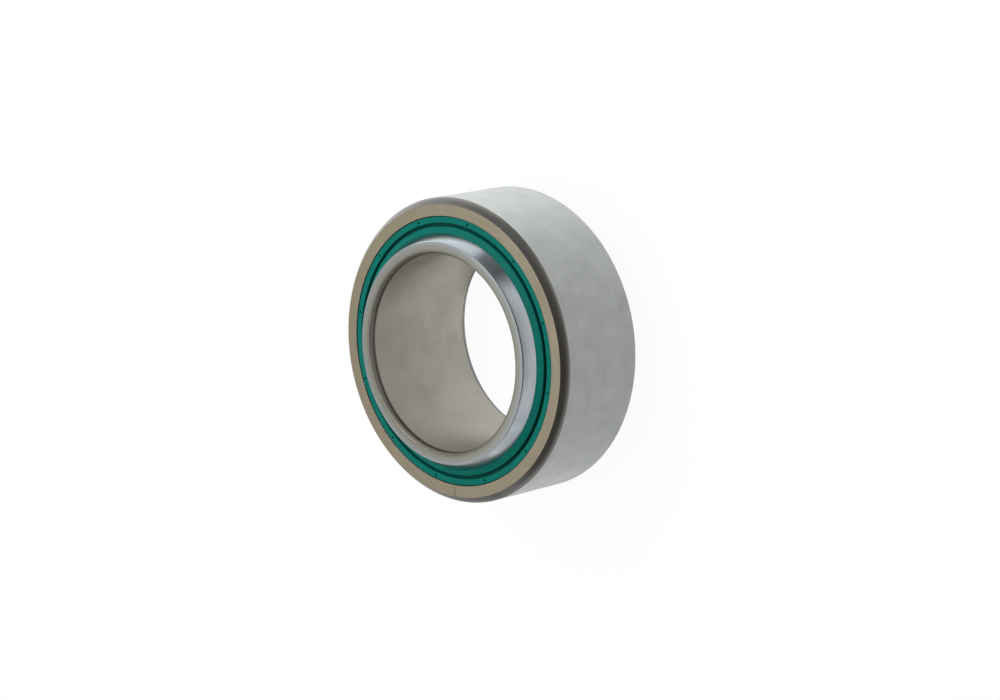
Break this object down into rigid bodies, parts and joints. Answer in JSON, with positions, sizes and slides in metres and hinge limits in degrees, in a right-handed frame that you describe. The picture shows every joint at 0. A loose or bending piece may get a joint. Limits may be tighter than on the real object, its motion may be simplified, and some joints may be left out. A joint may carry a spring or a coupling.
{
  "type": "spherical plain bearing",
  "caption": "Radial spherical plain bearing: a ball-shaped inner ring that turns and tilts in a split outer ring, with a green lip seal on each side.",
  "frame": {"origin": "centre of the ball, which is the centre of both rings at rest", "axes": "+Z along the axis of the bore, away from the surface it stands on; +X along the tilt axis"},
  "size_m": [0.062, 0.062, 0.028],
  "materials": {
    "ground_steel": "ground and turned steel, satin",
    "chromed_steel": "hard chromed and polished ball, ground faces and bore",
    "green_rubber": "moulded elastomer, satin",
    "liner_fabric": "woven sliding layer"
  },
  "bodies": {
    "inner": {"inner_ring": "chromed_steel"},
    "liner": {"sliding_liner": "liner_fabric"},
    "outer": {"outer_ring": "ground_steel", "front_seal": "green_rubber", "back_seal": "green_rubber"}
  },
  "joints": [
    {"name": "tilt", "type": "hinge", "parent": "inner", "child": "liner", "pos_m": [0, 0, 0], "axis": [1, 0, 0], "range_deg": [-6, 6]},
    {"name": "spin", "type": "hinge", "parent": "liner", "child": "outer", "pos_m": [0, 0, 0], "axis": [0, 0, 1], "continuous": true}
  ]
}
